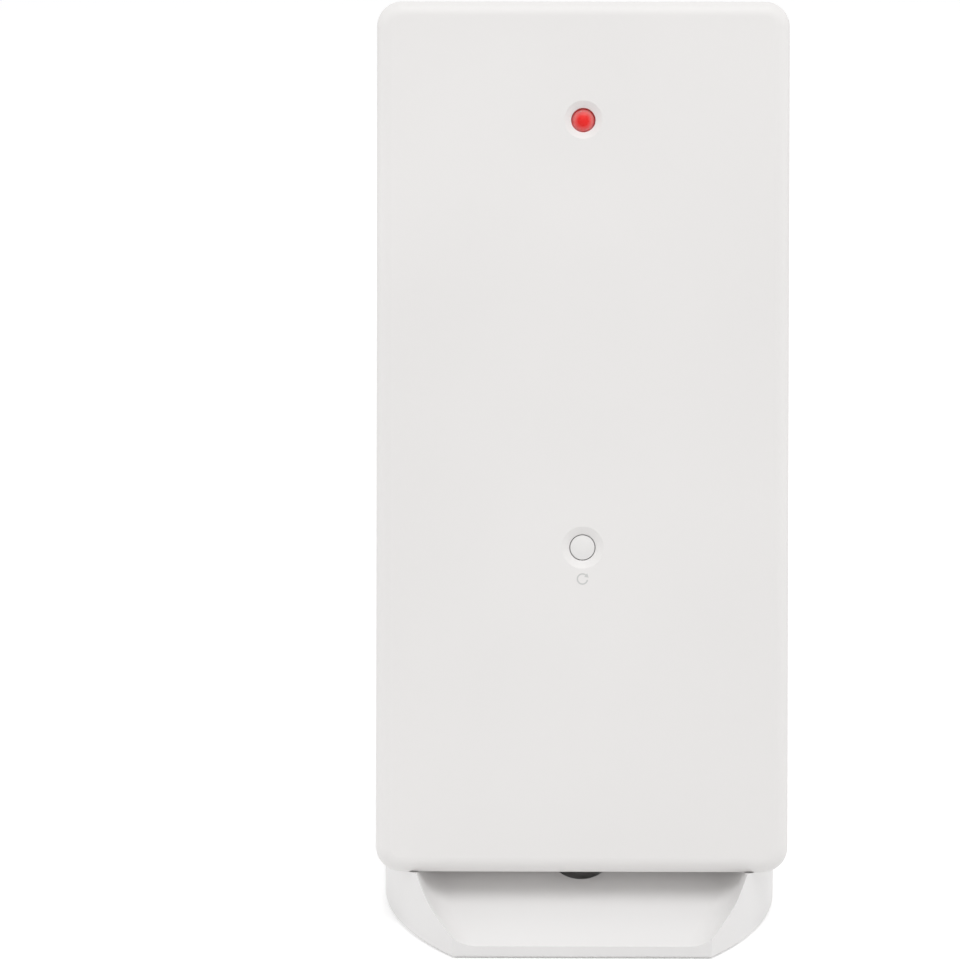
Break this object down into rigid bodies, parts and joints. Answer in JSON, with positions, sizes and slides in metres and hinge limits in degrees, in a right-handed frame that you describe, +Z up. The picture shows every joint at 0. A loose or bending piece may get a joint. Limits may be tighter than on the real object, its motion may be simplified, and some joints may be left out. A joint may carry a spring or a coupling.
{
  "type": "wireless outdoor temperature sensor",
  "caption": "White upright wireless temperature sensor with a status light and reset button on its face, leaning back on a detachable slide-on foot.",
  "frame": {"origin": "middle of the foot's flat underside, on the surface it stands on", "axes": "+Z up, +X to the right seen from the front, the face with the light and button towards -Y"},
  "size_m": [0.054, 0.0592, 0.1189],
  "materials": {
    "case_plastic": "fine matte moulded, warm white",
    "stand_plastic": "smooth satin moulded, warm white",
    "button_plastic": "satin, warm white",
    "black_plastic": "matte",
    "red_lens": "tinted, translucent, polished",
    "tinned_metal": "tinned",
    "circuit_board": "green solder mask",
    "black_resin": "cast resin",
    "can_metal": "nickel plated",
    "capacitor_sleeve": "shrink sleeve",
    "copper_wire": "enamelled copper",
    "probe_coating": "dipped resin",
    "contact_metal": "nickel plated spring steel",
    "battery_jacket": "printed foil jacket",
    "selector_shell": "plated, folded sheet",
    "screw_steel": "zinc plated"
  },
  "bodies": {
    "stand": {"stand": "stand_plastic"},
    "sensor_unit": {"antenna_wire": "copper_wire", "battery_left": "battery_jacket", "battery_right": "battery_jacket", "board_screws": "screw_steel", "bridge_contact": "contact_metal", "channel_selector": "selector_shell", "clock_crystal": "can_metal", "controller_chip": "black_resin", "front_cover": "case_plastic", "housing_screws": "screw_steel", "led_leads": "tinned_metal", "led_spacer": "black_plastic", "main_board": "circuit_board", "negative_contact": "contact_metal", "positive_contact": "contact_metal", "radio_board": "circuit_board", "radio_resonator": "can_metal", "rear_housing": "case_plastic", "reset_switch": "black_plastic", "status_led": "red_lens", "supply_capacitor": "capacitor_sleeve", "temperature_probe": "probe_coating"},
    "battery_door": {"battery_door": "case_plastic"},
    "reset_button": {"reset_button": "button_plastic", "switch_plunger": "black_plastic"},
    "selector_knob": {"selector_knob": "black_plastic"}
  },
  "joints": [
    {"name": "unit_lift", "type": "slide", "parent": "stand", "child": "sensor_unit", "axis": [0, 0.2588, 0.9659], "range_m": [0, 0.018]},
    {"name": "door_swing", "type": "hinge", "parent": "sensor_unit", "child": "battery_door", "pos_m": [0, 0.0132, 0.02618], "axis": [-1, 0, 0], "range_deg": [0, 70]},
    {"name": "reset_press", "type": "slide", "parent": "sensor_unit", "child": "reset_button", "axis": [0, 0.9659, -0.2588], "range_m": [0, 0.00035], "stiffness_N_per_m": 1500, "springref_m": -0.0003},
    {"name": "channel_slide", "type": "slide", "parent": "sensor_unit", "child": "selector_knob", "axis": [1, 0, 0], "range_m": [0, 0.004]}
  ]
}
